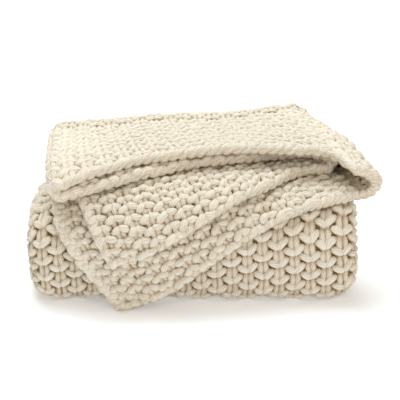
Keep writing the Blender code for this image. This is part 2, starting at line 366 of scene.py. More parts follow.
def curl_spot(stage, part, share):
    """A spot of the strip along the lowest panel's selvedge, which curls round the left end."""
    start = panel_sides(LOWER, stage, part)[1]
    if stage == "top":
        inward = panel_spot(LOWER, stage, part, NEAR_SELVEDGE)
        reach = math.hypot(start.x - inward.x, start.run - inward.run)
        step = CURL_SHORT * share / reach
        return start._replace(
            x=start.x + (start.x - inward.x) * step,
            run=start.run + (start.run - inward.run) * step,
        )
    curl = {"back turn": 0, "middle": ease(part)}.get(stage, 1)
    width = between(CURL_SHORT, CURL_LONG, curl) * share
    bend = max(CURL_ANGLE * curl, LEAST_CURL)
    radius = between(CURL_SHORT, CURL_LONG, curl) / bend
    angle = width / radius
    return start._replace(
        x=start.x - radius * math.sin(angle),
        level=LOWER + radius * (1 - math.cos(angle)) / PITCH,
    )


# The stretches of the sheet from the lower selvedge to the upper one, and its stages from the
# cast-on edge to the cast-off edge: stitches or rows in each, steps of its mesh, and how much
# closer its last rows are than its first.
Stretch = namedtuple("Stretch", "name stitches steps")
STRETCHES = (
    Stretch("curl", 3, 8),
    Stretch("lower", 18, 45),
    Stretch("outer fold", 4, 14),
    Stretch("top", 16, 40),
    Stretch("left fold", 2, 8),
    Stretch("inner", 15, 32),
    Stretch("inner fold", 1, 6),
    Stretch("upper", 15, 36),
)
Stage = namedtuple("Stage", "name stitches steps crowding")
STAGES = (
    Stage("top", 17, 39, 0),
    Stage("back turn", 18, 45, 0),
    Stage("middle", 10, 16, 0),
    Stage("front turn", 17, 45, 0.15),
    Stage("bottom", 10, 16, 0),
)
PANELS = {"lower": LOWER, "top": TOP, "inner": INNER, "upper": UPPER}
Fold = namedtuple("Fold", "start end side")     # it bulges to the right on side 1
FOLDS = {
    "outer fold": Fold(LOWER, TOP, 1),
    "left fold": Fold(TOP, INNER, -1),
    "inner fold": Fold(INNER, UPPER, 1),
}
RIGHTWARD = ("lower", "inner")      # panels that the sheet crosses from left to right


def sheet_spot(stage, part, stretch, share):
    """A spot of the sheet, share of the way through a stretch from the lower selvedge's side."""
    if stretch == "curl":
        return curl_spot(stage, part, 1 - share)
    if stretch in PANELS:
        across = 1 - share if stretch in RIGHTWARD else share
        return panel_spot(PANELS[stretch], stage, part, across)
    fold = FOLDS[stretch]
    index = 0 if fold.side > 0 else 1
    start = panel_sides(fold.start, stage, part)[index]
    end = panel_sides(fold.end, stage, part)[index]
    return fold_spot(start, end, fold.side, share)


def stations(rows):
    """The steps through a table of stretches or stages: name, share of it, and stitches so far."""
    found, passed = [(rows[0].name, 0.0, 0.0)], 0
    for row in rows:
        for i in range(1, row.steps + 1):
            found.append((row.name, i / row.steps, passed + row.stitches * i / row.steps))
        passed += row.stitches
    return found


SIDEWAYS, LENGTHWAYS = stations(STRETCHES), stations(STAGES)


def middle_surface():
    """Places of the sheet's middle surface, a row for each lengthways station, and its normals."""
    places = []
    for stage, part, _ in LENGTHWAYS:
        line = [sheet_spot(stage, part, stretch, share) for stretch, share, _ in SIDEWAYS]
        places.append([settle(stage, spot, *stack_place(stage, part, spot)) for spot in line])
    places = np.array(places, dtype=float)
    normals = np.cross(np.gradient(places, axis=1), np.gradient(places, axis=0))
    return places, normals / np.linalg.norm(normals, axis=2, keepdims=True)


MEASURED_AT = 20            # steps into a panel, where its rows are measured


def even_rows(places):
    """Rows so far at each lengthways station, of even height on the outermost layer of a turn."""
    rows = np.array([row for _, _, row in LENGTHWAYS])
    outermost = {"back turn": "top", "front turn": "lower"}
    first = 0
    for stage in STAGES:
        last = first + stage.steps
        if stage.name in outermost:
            names = [name for name, _, _ in SIDEWAYS]
            line = places[first:last + 1, names.index(outermost[stage.name]) + MEASURED_AT]
            lengths = np.concatenate([[0], np.cumsum(np.linalg.norm(np.diff(line, axis=0), axis=1))])
            share = lengths / lengths[-1]
            share += stage.crowding * (share ** 2 - share)
            rows[first:last + 1] = rows[first] + stage.stitches * share
        first = last
    return rows


PLACES, NORMALS = middle_surface()
STITCH_COLUMN = np.array([column for _, _, column in SIDEWAYS])
STITCH_ROW = even_rows(PLACES)

GROUND_THICKNESS = 0.004
GROUND_STRIDE = 2
GROUND_INSET = 0.4          # share of its outermost squares by which the ground is smaller


def grid_faces(rows, columns):
    """Corner numbers of the squares of a grid of points, row by row."""
    corner = np.arange(rows * columns).reshape(rows, columns)
    square = (corner[:-1, :-1], corner[:-1, 1:], corner[1:, 1:], corner[1:, :-1])
    return np.stack(square, axis=-1).reshape(-1, 4)


def grid_mesh(name, places):
    """A mesh object through a grid of places."""
    mesh = bpy.data.meshes.new(name)
    rows, columns = places.shape[:2]
    mesh.from_pydata(places.reshape(-1, 3), [], grid_faces(rows, columns))
    mesh.shade_smooth()
    piece = bpy.data.objects.new(name, mesh)
    bpy.context.scene.collection.objects.link(piece)
    return piece


def made_plain(piece):
    """The piece with its modifiers turned into mesh."""
    graph = bpy.context.evaluated_depsgraph_get()
    mesh = bpy.data.meshes.new_from_object(piece.evaluated_get(graph))
    piece.modifiers.clear()
    piece.data = mesh
    mesh.name = piece.name
    return piece


class Wire:
    """A node's socket, on which sums are written as ordinary arithmetic."""

    def __init__(self, tree, socket):
        self.tree, self.socket = tree, socket

    def maths(self, operation, *others, swapped=False):
        values = (self, *others) if not swapped else (*others, self)
        return node(self.tree, "ShaderNodeMath", {"operation": operation}, dict(enumerate(values)))[0]

    def __add__(self, other):
        return self.maths("ADD", other)

    def __sub__(self, other):
        return self.maths("SUBTRACT", other)

    def __rsub__(self, other):
        return self.maths("SUBTRACT", other, swapped=True)

    def __mul__(self, other):
        return self.maths("MULTIPLY", other)

    def __truediv__(self, other):
        return self.maths("DIVIDE", other)

    def __mod__(self, other):
        return self.maths("FLOORED_MODULO", other)

    def __neg__(self):
        return self.maths("MULTIPLY", -1.0)

    __radd__, __rmul__ = __add__, __mul__


def node(tree, kind, settings, values):
    """Any node: its settings are set first, then its sockets. Gives its outputs."""
    new = tree.nodes.new(kind)
    for name, setting in settings.items():
        if name == "stops":
            ramp = new.color_ramp.elements
            while len(ramp) < len(setting):
                ramp.new(1.0)
            for element, (position, colour) in zip(ramp, setting):
                element.position, element.color = position, (*colour, 1)
        elif name == "points":
            curve = new.mapping.curves[0].points
            while len(curve) < len(setting):
                curve.new(1.0, 1.0)
            for point, location in zip(curve, setting):
                point.location = location
            new.mapping.use_clip = False
            new.mapping.update()
        else:
            setattr(new, name, setting)
    shown = [socket for socket in new.inputs if socket.enabled]
    for key, value in values.items():
        socket = new.inputs[key] if isinstance(key, int) else next(s for s in shown if s.name == key)
        if isinstance(value, Wire):
            tree.links.new(value.socket, socket)
        else:
            socket.default_value = value
    return [Wire(tree, socket) for socket in new.outputs if socket.enabled]


def new_material(name):
    """A material with its node tree, its shader and nothing else."""
    material = bpy.data.materials.new(name)
    material.use_nodes = True
    return material, material.node_tree, material.node_tree.nodes["Principled BSDF"]


# Painted shade: the ground's mottled dark browns stand for the shade that fills the holes between the
# loops.
GROUND_SHADE_COLOUR = (0.35, 0.23, 0.125)
GROUND_DEEP_SHADE = (0.21, 0.125, 0.058)
GROUND_MOTTLE = 260.0       # spots a metre


def varied(tree, place, scale, detail, roughness=0.5):
    """A noise at a place: its value, and three values of its own as a vector."""
    values = {"Vector": place, "Scale": scale, "Detail": detail, "Roughness": roughness}
    return node(tree, "ShaderNodeTexNoise", {}, values)


def shade_ground_material():
    material, tree, shader = new_material("shadowed_yarn")
    place = node(tree, "ShaderNodeTexCoord", {}, {})[3]
    mottle = varied(tree, place, GROUND_MOTTLE, detail=3.0)[0]
    colour = node(
        tree, "ShaderNodeMix", {"data_type": "RGBA"},
        {"Factor": mottle, "A": (*GROUND_DEEP_SHADE, 1), "B": (*GROUND_SHADE_COLOUR, 1)},
    )[0]
    tree.links.new(colour.socket, shader.inputs["Base Color"])
    shader.inputs["Roughness"].default_value = 1.0
    shader.inputs["Specular IOR Level"].default_value = 0.1
    return material


def drawn_in(places, share):
    """A grid of places with its border moved inward by a share of its outermost steps."""
    places = places.copy()
    for border, next_in in ((0, 1), (-1, -2)):
        places[border] += share * (places[next_in] - places[border])
        places[:, border] += share * (places[:, next_in] - places[:, border])
    return places


ground = grid_mesh("ground", drawn_in(PLACES[::GROUND_STRIDE, ::GROUND_STRIDE], GROUND_INSET))
wall = ground.modifiers.new("thickness", "SOLIDIFY")
wall.thickness, wall.offset, wall.use_even_offset = GROUND_THICKNESS, 0, True
ground = made_plain(ground)
ground.data.materials.append(shade_ground_material())
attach(ground, "root")
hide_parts("blanket")


# ---- The stitches --------------------------------------------------------------------
# Seed stitch: knit and purl stitches by turns, along each row and from row to row. Each row is
# one run of the yarn, a soft loosely spun roving about 8 mm thick, whose loops pass through
# those of the row before.

YARN_RADIUS = 0.0042
LOOP_DEPTH = 0.0034         # how far the strands lie before or behind the middle surface
LYING = 1.4                 # height of the lowest yarn's middle over the floor, in its radii
ROW_HEIGHT = 0.0121
STITCH_WIDTH = 0.0187
UV_SPAN = 96.0              # stitches and rows along the whole of a patch's UV map
EDGE = 0.03                 # how near the edge of the sheet the yarn's middle comes, in stitches
BEYOND = 1.2                # rows past a patch's edge from which a strand is left out
TIGHTEST, SLACKEST = 0.55, 1.2      # how close or wide rows change the yarn
TINY = 1e-6

UNEVEN = 0.0012             # how far hand work strays
STRAY_SCALE = 1.1           # how quickly it strays from stitch to stitch
STRAY_STEP = 0.37           # and from strand to strand
STRAY_REACH = 3

# Half a loop, from the middle of the strand between two stitches (share 0) to the top of its
# head (share 1): how far from the stitch's middle line, in stitches; how far past the row's
# middle, in rows; how far in front of the sheet's middle; how thick. A purl loop's feet spread
# over the front like horns, and a knit loop shows only its two close legs.
Bend = namedtuple("Bend", "share out up depth thickness")
HALF_PURL = (
    Bend(0.00, 0.50, -0.40, 0.00, 0.85),
    Bend(0.09, 0.52, -0.42, 0.75, 0.98),
    Bend(0.19, 0.46, -0.39, 1.15, 1.20),
    Bend(0.32, 0.32, -0.22, 1.28, 1.32),
    Bend(0.45, 0.15, -0.02, 1.22, 1.30),
    Bend(0.57, 0.09, 0.23, 0.60, 1.08),
    Bend(0.73, 0.12, 0.78, -0.35, 0.80),
    Bend(0.90, 0.13, 1.25, -0.50, 0.80),
    Bend(1.00, 0.00, 1.40, -0.50, 0.80),
)
HALF_KNIT = (
    Bend(0.00, 0.50, -0.40, 0.00, 0.85),
    Bend(0.12, 0.40, -0.52, -0.70, 0.85),
    Bend(0.25, 0.20, -0.62, -0.35, 0.90),
    Bend(0.36, 0.18, -0.40, 0.35, 1.04),
    Bend(0.55, 0.18, 0.20, 0.65, 1.10),
    Bend(0.80, 0.18, 0.90, 0.50, 1.04),
    Bend(0.92, 0.14, 1.25, 0.30, 0.86),
    Bend(1.00, 0.00, 1.40, 0.20, 0.76),
)


def even_rows_of(steps):
    """Rows so far at each line of a grid, from its lengthways steps: even on its middle column."""
    line = steps[:, steps.shape[1] // 2]
    count = round(line.sum() / ROW_HEIGHT)
    return np.concatenate([[0], np.cumsum(line)]) * count / line.sum()


def patch(name, columns, rows, measured="by the sheet", height=ROW_HEIGHT, skew=0.0, turned=False):
    """A stretch of the sheet's middle surface, on which stitches are laid by their UV map.

    columns and rows are the first and last stitch. The rows are measured "by the sheet", which
    is by its own rows, or "by length" from the first row along every column, or "evenly" along
    the patch's middle, or evenly "in each column". skew is how many rows they fall behind at
    each column, and turned swaps the map's two directions. Gives the mesh and its map's lowest
    and highest row.
    """
    margin = 1 if measured == "by the sheet" else 0
    wide = (STITCH_COLUMN >= columns[0] - TINY) & (STITCH_COLUMN <= columns[1] + TINY)
    long = (STITCH_ROW >= rows[0] - margin - TINY) & (STITCH_ROW <= rows[1] + margin + TINY)
    places, normals = PLACES[long][:, wide], NORMALS[long][:, wide]
    steps = np.linalg.norm(np.diff(places, axis=0), axis=2)
    length = np.concatenate([np.zeros((1, steps.shape[1])), np.cumsum(steps, axis=0)])
    if measured == "by length":
        row = length / height
    elif measured == "in each column":
        row = length * (rows[1] - rows[0]) / length[-1:]
    else:
        line = STITCH_ROW[long] - rows[0] if measured == "by the sheet" else even_rows_of(steps)
        row = np.repeat(line[:, None], steps.shape[1], axis=1)
    heights = steps / np.maximum(np.diff(row, axis=0), TINY)
    snug = np.clip(np.concatenate([heights, heights[-1:]]) / height, TIGHTEST, SLACKEST)
    column = np.repeat((STITCH_COLUMN[wide] - columns[0])[None], len(row), axis=0)
    lowest, highest = float(row.min()), float(row[-1].min())
    row = row + skew * column
    uv = np.stack([row, column] if turned else [column, row], axis=-1)
    uv = (uv.reshape(-1, 2) + 1) / UV_SPAN
    piece = grid_mesh(name, places)
    mesh = piece.data
    corner = np.empty(len(mesh.loops), dtype=np.int32)
    mesh.loops.foreach_get("vertex_index", corner)
    mesh.uv_layers.new(name="courses").uv.foreach_set("vector", uv[corner].ravel())
    out = mesh.attributes.new("out", "FLOAT_VECTOR", "POINT")
    out.data.foreach_set("vector", normals.reshape(-1))
    mesh.attributes.new("snug", "FLOAT", "POINT").data.foreach_set("value", snug.reshape(-1))
    return piece, lowest, highest


def new_tree(name, inputs):
    """A node group for a modifier, with its named inputs. Gives it and their wires."""
    tree = bpy.data.node_groups.new(name, "GeometryNodeTree")
    tree.interface.new_socket("Geometry", in_out="OUTPUT", socket_type="NodeSocketGeometry")
    for title, kind in inputs:
        tree.interface.new_socket(title, in_out="INPUT", socket_type=f"NodeSocket{kind}")
    return tree, {s.name: Wire(tree, s) for s in tree.nodes.new("NodeGroupInput").outputs if s.name}


YARN_INPUTS = (
    ("Patch", "Geometry"), ("Stitches", "Int"), ("Widest", "Float"), ("Lowest Row", "Float"),
    ("Highest Row", "Float"), ("Skew", "Float"), ("Points a Stitch", "Int"), ("Sides", "Int"),
    ("Openness", "Float"), ("Open Edge", "Float"), ("Underside", "Float"), ("Seed", "Float"),
    ("Yarn Radius", "Float"), ("Depth", "Float"), ("Uneven", "Float"), ("Yarn", "Material"),
)
MOST_OPEN = 0.85            # a loop at an open edge is as light as if it lay this high


def lay_yarn(tree, entry, strands, strand, column, course, depth, thickness):
    """The rest of a tree: strands laid on the patch at a column, a course and a depth."""

    make = functools.partial(node, tree)

    def attribute(name, kind="FLOAT"):
        return make("GeometryNodeInputNamedAttribute", {"data_type": kind}, {"Name": name})[0]

    def stored(geometry, **values):
        for name, (kind, value) in values.items():
            geometry = make(
                "GeometryNodeStoreNamedAttribute", {"data_type": kind, "domain": "POINT"},
                {"Geometry": geometry, "Name": name, "Value": value},
            )[0]
        return geometry

    def vector(operation, first, second):
        return make("ShaderNodeVectorMath", {"operation": operation}, {0: first, 1: second})[0]

    def scaled(first, scale):
        return make("ShaderNodeVectorMath", {"operation": "SCALE"}, {0: first, "Scale": scale})[0]

    def combined(x, y, z):
        return make("ShaderNodeCombineXYZ", {}, {"X": x, "Y": y, "Z": z})[0]

    def separated(whole):
        return make("ShaderNodeSeparateXYZ", {}, {"Vector": whole})

    # Where each point lies on the patch.
    straight = course - entry["Skew"] * column
    beyond = (straight - entry["Lowest Row"]).maths("LESS_THAN", -BEYOND).maths(
        "MAXIMUM", (straight - entry["Highest Row"]).maths("GREATER_THAN", BEYOND),
    )
    kept_column = column.maths("MAXIMUM", EDGE).maths("MINIMUM", entry["Widest"] - EDGE)
    kept_row = straight.maths("MAXIMUM", entry["Lowest Row"])
    kept_row = kept_row.maths("MINIMUM", entry["Highest Row"]) + entry["Skew"] * kept_column
    uv = combined((kept_column + 1) / UV_SPAN, (kept_row + 1) / UV_SPAN, 0.0)
    courses = attribute("courses", "FLOAT_VECTOR")
    position = make("GeometryNodeInputPosition", {}, {})[0]

    def sampled(kind, value):
        return make(
            "GeometryNodeSampleUVSurface", {"data_type": kind},
            {"Mesh": entry["Patch"], "Value": value, "UV Map": courses, "Sample UV": uv},
        )[0]

    hand = combined(column, course, entry["Seed"] + strand * STRAY_STEP)
    stray = varied(tree, hand, STRAY_SCALE, detail=1.0)[1]
    stray = scaled(vector("SUBTRACT", stray, (0.5, 0.5, 0.5)), entry["Uneven"] * STRAY_REACH)
    opened = (entry["Open Edge"] - straight).maths("MINIMUM", MOST_OPEN)
    count = (entry["Stitches"] * entry["Points a Stitch"] + 1) * strands
    dots = stored(
        make("GeometryNodePoints", {}, {"Count": count})[0],
        strand=("INT", strand),
        snug=("FLOAT", sampled("FLOAT", attribute("snug")) * thickness),
        depth=("FLOAT", depth * entry["Depth"]),
        out=("FLOAT_VECTOR", sampled("FLOAT_VECTOR", attribute("out", "FLOAT_VECTOR"))),
        place=("FLOAT_VECTOR", sampled("FLOAT_VECTOR", position)),
        stray=("FLOAT_VECTOR", stray),
        beyond=("FLOAT", beyond),
        opened=("FLOAT", opened.maths("MAXIMUM", entry["Openness"])),
    )
    dots = make(
        "GeometryNodeDeleteGeometry", {"domain": "POINT"},
        {"Geometry": dots, "Selection": attribute("beyond")},
    )[0]

    # The points out on the sheet's face, and above the floor, and joined into strands.
    lift = scaled(attribute("out", "FLOAT_VECTOR"), attribute("depth"))
    place = vector("ADD", attribute("place", "FLOAT_VECTOR"), lift)
    x, y, z = separated(vector("ADD", place, attribute("stray", "FLOAT_VECTOR")))
    rested = combined(x, y, z.maths("MAXIMUM", entry["Yarn Radius"] * LYING))
    dots = make("GeometryNodeSetPosition", {}, {"Geometry": dots, "Position": rested})[0]
    lines = make(
        "GeometryNodePointsToCurves", {},
        {"Points": dots, "Curve Group ID": attribute("strand", "INT")},
    )[0]
    lines = stored(lines, along=("FLOAT", make("GeometryNodeSplineParameter", {}, {})[1]))

    # The yarn round each strand.
    ring = make(
        "GeometryNodeCurvePrimitiveCircle", {},
        {"Resolution": entry["Sides"], "Radius": entry["Yarn Radius"]},
    )[0]
    around = make("ShaderNodeVectorMath", {"operation": "NORMALIZE"}, {0: position})[0]
    ring = stored(ring, around=("FLOAT_VECTOR", around))
    yarn = make(
        "GeometryNodeCurveToMesh", {},
        {"Curve": lines, "Profile Curve": ring, "Scale": attribute("snug"), "Fill Caps": True},
    )[0]

    # What its material reads: how high it lies on the sheet's face, which the colour turns into painted
    # shade where it is low, lowered further where the yarn faces down and raised where a loop is open, and
    # the run of its fibre.
    normal = make("GeometryNodeInputNormal", {}, {})[0]
    facing = vector("DOT_PRODUCT", normal, attribute("out", "FLOAT_VECTOR"))
    height = attribute("depth") + facing * entry["Yarn Radius"]
    height = (height / (entry["Depth"] + entry["Yarn Radius"])).maths("ABSOLUTE")
    # Painted shade where the yarn faces down.
    below = (-separated(normal)[2]).maths("MAXIMUM", 0.0)
    height = height.maths("MAXIMUM", attribute("opened")) - entry["Underside"] * below
    side_x, side_y, _ = separated(attribute("around", "FLOAT_VECTOR"))
    fibre = combined(side_x, side_y, attribute("along"))
    yarn = stored(yarn, fibre=("FLOAT_VECTOR", fibre), height=("FLOAT", height))
    yarn = make("GeometryNodeRealizeInstances", {}, {"Geometry": yarn})[0]
    yarn = make("GeometryNodeSetMaterial", {}, {"Geometry": yarn, "Material": entry["Yarn"]})[0]
    tree.links.new(yarn.socket, tree.nodes.new("NodeGroupOutput").inputs[0])


def along_strand(tree, entry):
    """Which strand each point of the yarn is on, and how far along it, in stitches."""
    index = node(tree, "GeometryNodeInputIndex", {}, {})[0]
    points = entry["Stitches"] * entry["Points a Stitch"] + 1
    strand = ((index + 0.5) / points).maths("FLOOR")
    return strand, (index - strand * points) / entry["Points a Stitch"]


WHOLE = 0.001               # keeps a whole number of stitches from rounding down


def stitches_tree():
    """Lays the loops of each row on a patch."""
    inputs = (*YARN_INPUTS, ("Rows", "Int"), ("Shift", "Int"), ("Facing", "Float"))
    tree, entry = new_tree("stitches", inputs)
    row, along = along_strand(tree, entry)
    stitch = (along + WHOLE).maths("FLOOR")
    phase = (along - stitch).maths("MAXIMUM", 0.0)
    share = phase.maths("MINIMUM", 1 - phase) * 2
    purl = (row + stitch + entry["Shift"]) % 2

    def bend(name):
        """A column of the half loop's table at this share, knit or purl."""

        def curve(half_loop):
            points = tuple((place.share, getattr(place, name)) for place in half_loop)
            return node(tree, "ShaderNodeFloatCurve", {"points": points}, {"Value": share})[0]

        knit = curve(HALF_KNIT)
        return knit + purl * (curve(HALF_PURL) - knit)

    side = (phase - 0.5).maths("SIGN")
    column = stitch + 0.5 + side * bend("out")
    course = row + 0.5 + bend("up")
    depth = entry["Facing"] * bend("depth")
    lay_yarn(tree, entry, entry["Rows"], row, column, course, depth, bend("thickness"))
    return tree


# The yarn's own cream, and two browns of painted shade for where the loops lie deep or face down. The
# height's share in the colour is the share of this painted shade.
YARN_LIGHT = (0.905, 0.85, 0.735)
YARN_HALF_SHADE = (0.60, 0.46, 0.29)
YARN_DEEP_SHADE = (0.14, 0.064, 0.022)
MIDDLE_STOP, LIGHT_STOP = 0.42, 0.97
DEEP_HEIGHT, LIT_HEIGHT = 0.32, 0.95    # in shade, and in the light
SHADE_SHARE, RELIEF_SHARE = 0.56, 0.78     # of the height and of the relief in the colour

PLIES = 9                   # plies of the roving, which lie side by side
TWIST = 90.0                # radians a metre that they turn round the yarn
FIBRE_LENGTH = 22           # how soon the fibre changes along the yarn
COARSE_SCALE, FINE_SCALE = 3.2, 9.0
COARSE_SHARE, FINE_SHARE, PLY_SHARE = 0.3, 0.4, 0.3     # of each in the relief
RELIEF_DEPTH = 0.0020


def yarn_material():
    """Matt roving: fine twisted strands, with painted shade that makes it warm and dark where the loops
    lie deep.
    """
    material, tree, shader = new_material("cream_roving")
    make = functools.partial(node, tree)
    fibre = make("ShaderNodeAttribute", {"attribute_name": "fibre"}, {})[1]
    height = make("ShaderNodeAttribute", {"attribute_name": "height"}, {})[2]
    across_x, across_y, along = make("ShaderNodeSeparateXYZ", {}, {"Vector": fibre})
    section = make("ShaderNodeCombineXYZ", {}, {"X": across_x, "Y": across_y})[0]
    twisted = make(
        "ShaderNodeVectorRotate", {"rotation_type": "Z_AXIS"}, {"Vector": section, "Angle": along * TWIST},
    )[0]
    x, y, _ = make("ShaderNodeSeparateXYZ", {}, {"Vector": twisted})
    strand = make("ShaderNodeCombineXYZ", {}, {"X": x, "Y": y, "Z": along * FIBRE_LENGTH})[0]
    coarse = varied(tree, strand, COARSE_SCALE, detail=1.0)[0]
    fine = varied(tree, strand, FINE_SCALE, detail=3.0, roughness=0.6)[0]
    angle = make("ShaderNodeMath", {"operation": "ARCTAN2"}, {0: y, 1: x})[0]
    ply = (angle * PLIES / 2).maths("COSINE").maths("ABSOLUTE")
    relief = coarse * COARSE_SHARE + fine * FINE_SHARE + ply * PLY_SHARE

    # Painted shade: the colour falls from cream to dark brown where the yarn lies low. The relief's share
    # varies the tone at random and also darkens the grooves between the plies with painted shade.
    lit = make(
        "ShaderNodeMapRange", {"interpolation_type": "SMOOTHSTEP"},
        {"Value": height, "From Min": DEEP_HEIGHT, "From Max": LIT_HEIGHT},
    )[0]
    stops = ((0.0, YARN_DEEP_SHADE), (MIDDLE_STOP, YARN_HALF_SHADE), (LIGHT_STOP, YARN_LIGHT))
    colour = make(
        "ShaderNodeValToRGB", {"stops": stops}, {"Fac": lit * SHADE_SHARE + relief * RELIEF_SHARE},
    )[0]
    tree.links.new(colour.socket, shader.inputs["Base Color"])
    bump = make("ShaderNodeBump", {}, {"Strength": 1.0, "Distance": RELIEF_DEPTH, "Height": relief})[0]
    tree.links.new(bump.socket, shader.inputs["Normal"])
    shader.inputs["Roughness"].default_value = 0.92
    shader.inputs["Specular IOR Level"].default_value = 0.2
    shader.inputs["Sheen Weight"].default_value = 0.08
    shader.inputs["Sheen Roughness"].default_value = 0.5
    return material


STITCHES, ROVING = stitches_tree(), yarn_material()
OUTER_SIDE, INNER_SIDE = -1.0, 1.0      # the side of the sheet that shows
SEED_STEP = 7.0             # so that no two patches stray alike


def worked(piece, tree, values):
    """The piece after a node group has worked on it, with the values of its named inputs."""
    modifier = piece.modifiers.new(tree.name, "NODES")
    modifier.node_group = tree
    for socket in tree.interface.items_tree:
        if socket.name in values:
            modifier[socket.identifier] = values[socket.name]
    made_plain(piece)
    piece.data.shade_smooth()
    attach(piece, "root")
    return piece


def knitted(
    name, columns, rows, count=None, sides=8, points=16, skew=0.0, facing=OUTER_SIDE, plump=1.0,
    depth=LOOP_DEPTH, uneven=UNEVEN, openness=0.0, open_edge=0.0, underside_shade=0.3, **measure
):
    """A stretch of stitches between two columns and two rows of the sheet, or count rows of it.

    The loops are lit as if openness high, and so are the backs of those within open_edge rows of
    the first row: both lift the painted shade. underside is how much painted shade darkens the yarn where
    it faces down.
    """
    piece, lowest, highest = patch(name, columns, rows, skew=skew, **measure)
    stitches = columns[1] - columns[0]
    last = rows[1] - rows[0] if "measured" not in measure else round(highest)
    return worked(piece, STITCHES, {
        "Stitches": stitches,
        "Widest": float(stitches),
        "Lowest Row": lowest + EDGE,
        "Highest Row": highest - EDGE,
        "Skew": skew,
        "Points a Stitch": points,
        "Sides": sides,
        "Openness": openness,
        "Open Edge": open_edge,
        "Underside": underside_shade,
        "Seed": columns[0] * SEED_STEP + rows[0],
        "Yarn Radius": YARN_RADIUS * plump,
        "Depth": depth,
        "Uneven": uneven,
        "Yarn": ROVING,
        "Rows": count or last + math.ceil(skew * stitches),
        "Shift": (columns[0] + rows[0]) % 2,
        "Facing": facing,
    })


def starts(rows):
    """Where each stretch or stage begins, in stitches or rows, and where the last one ends."""
    found, passed = {}, 0
    for row in rows:
        found[row.name] = passed
        passed += row.stitches
    return found, passed


COLUMN, LAST_COLUMN = starts(STRETCHES)
ROW, LAST_ROW = starts(STAGES)
FRONT_FROM = ROW["front turn"] - 3      # the front's rows begin inside the stack,
FRONT_TO = ROW["bottom"] + 2            # and go on a little under it
SELVEDGE_FROM = ROW["back turn"] - 4    # where the flaps' rows have given way to the sheet's
FLAP_TO = ROW["middle"] + 5
FRONT_SKEW = 0.3                        # rows that the front's stitches lean at each column
TOP_COLUMNS = (COLUMN["outer fold"], COLUMN["inner"])
OUTER_COLUMNS = (0, COLUMN["top"])      # of the front and the underside

OPEN_EDGE = 1.2             # rows at a free edge whose backs lie in the light
FLAP_ROW_HEIGHT = 0.0068    # the free corners are slack, so that their rows lie close
SLACK = {"measured": "by length", "height": FLAP_ROW_HEIGHT, "open_edge": OPEN_EDGE}
FLAP = {**SLACK, "plump": 0.88, "uneven": UNEVEN * 2.3}
UPPER_FLAP_ROWS, LOWER_FLAP_ROWS, SECOND_LAYER_ROWS = 20, 25, 6

stitch_pieces = [
    knitted(
        "top_stitches", TOP_COLUMNS, (0, ROW["back turn"]), measured="in each column", points=20,
        plump=1.22, depth=LOOP_DEPTH * 0.55, openness=0.7, open_edge=OPEN_EDGE,
    ),
    knitted("back_stitches", TOP_COLUMNS, (ROW["back turn"], ROW["middle"])),
    knitted("front_stitches", OUTER_COLUMNS, (FRONT_FROM, FRONT_TO), skew=FRONT_SKEW),
    knitted(
        "under_stitches", OUTER_COLUMNS, (FRONT_TO, LAST_ROW), sides=6, points=10, skew=FRONT_SKEW,
    ),
    knitted(
        "right_fold_stitches", (COLUMN["outer fold"], COLUMN["top"]), (ROW["middle"], FRONT_FROM),
        points=12,
    ),
    knitted(
        "left_fold_stitches", (COLUMN["left fold"] - 1, COLUMN["inner"] + 1), (ROW["middle"], LAST_ROW),
        measured="evenly", points=12, plump=1.2,
    ),
    knitted(
        "lower_selvedge_stitches", (0, COLUMN["lower"] + 1), (SELVEDGE_FROM, FRONT_FROM),
        measured="evenly", points=12,
    ),
    knitted(
        "upper_selvedge_stitches", (LAST_COLUMN - 3, LAST_COLUMN), (SELVEDGE_FROM, LAST_ROW),
        measured="evenly", points=12,
    ),
    knitted("cast_off_stitches", (COLUMN["top"], LAST_COLUMN), (LAST_ROW - 3, LAST_ROW), points=12),
    knitted(
        "upper_flap_stitches", (COLUMN["inner fold"], LAST_COLUMN), (0, FLAP_TO),
        count=UPPER_FLAP_ROWS, **FLAP,
    ),
    knitted(
        "lower_flap_stitches", (0, COLUMN["outer fold"]), (0, FLAP_TO),
        count=LOWER_FLAP_ROWS, facing=INNER_SIDE, **FLAP,
    ),
    knitted(
        "second_layer_stitches", (COLUMN["inner"], COLUMN["inner fold"]), (0, ROW["back turn"]),
        count=SECOND_LAYER_ROWS, facing=INNER_SIDE, **SLACK,
    ),
]


# ---- The edges -----------------------------------------------------------------------
# The cast-on edge, the cast-off edge and the two slipped selvedges. Along each of them two
# strands of the sheet's own yarn wind round each other like a soft rope, through its last loops.

EDGE_TWIST = 0.0026         # how far each strand winds round the edge
EDGE_INSET = 0.1            # from the sheet's edge to the rope's middle, in rows or stitches
EDGE_PLUMP = 1.05
# The rope's colour takes less painted shade than the stitches', and more painted shade where it faces
# down.
EDGE_OPENNESS = 0.8
EDGE_UNDERSIDE_SHADE = 0.45
EDGE_THICKNESS, EDGE_SWELL = 0.94, 0.12
SELVEDGE_STITCHES = 60
SELVEDGE_TURNS = 0.5        # of its strands at each stitch
SELVEDGE_UNEVEN = 0.5       # share of the other edges' unevenness


def edging_tree():
    """Winds strands round each other along an edge of a patch."""
    inputs = (*YARN_INPUTS, ("Strands", "Int"), ("Turns", "Float"), ("Inset", "Float"), ("Sway", "Float"))
    tree, entry = new_tree("edging", inputs)
    strand, along = along_strand(tree, entry)
    angle = (along * entry["Turns"] * 2 + strand) * math.pi
    course = entry["Inset"] + entry["Sway"] * angle.maths("SINE")
    thickness = EDGE_THICKNESS + EDGE_SWELL * (angle * 2).maths("COSINE")
    lay_yarn(tree, entry, entry["Strands"], strand, along, course, angle.maths("COSINE"), thickness)
    return tree


EDGING = edging_tree()


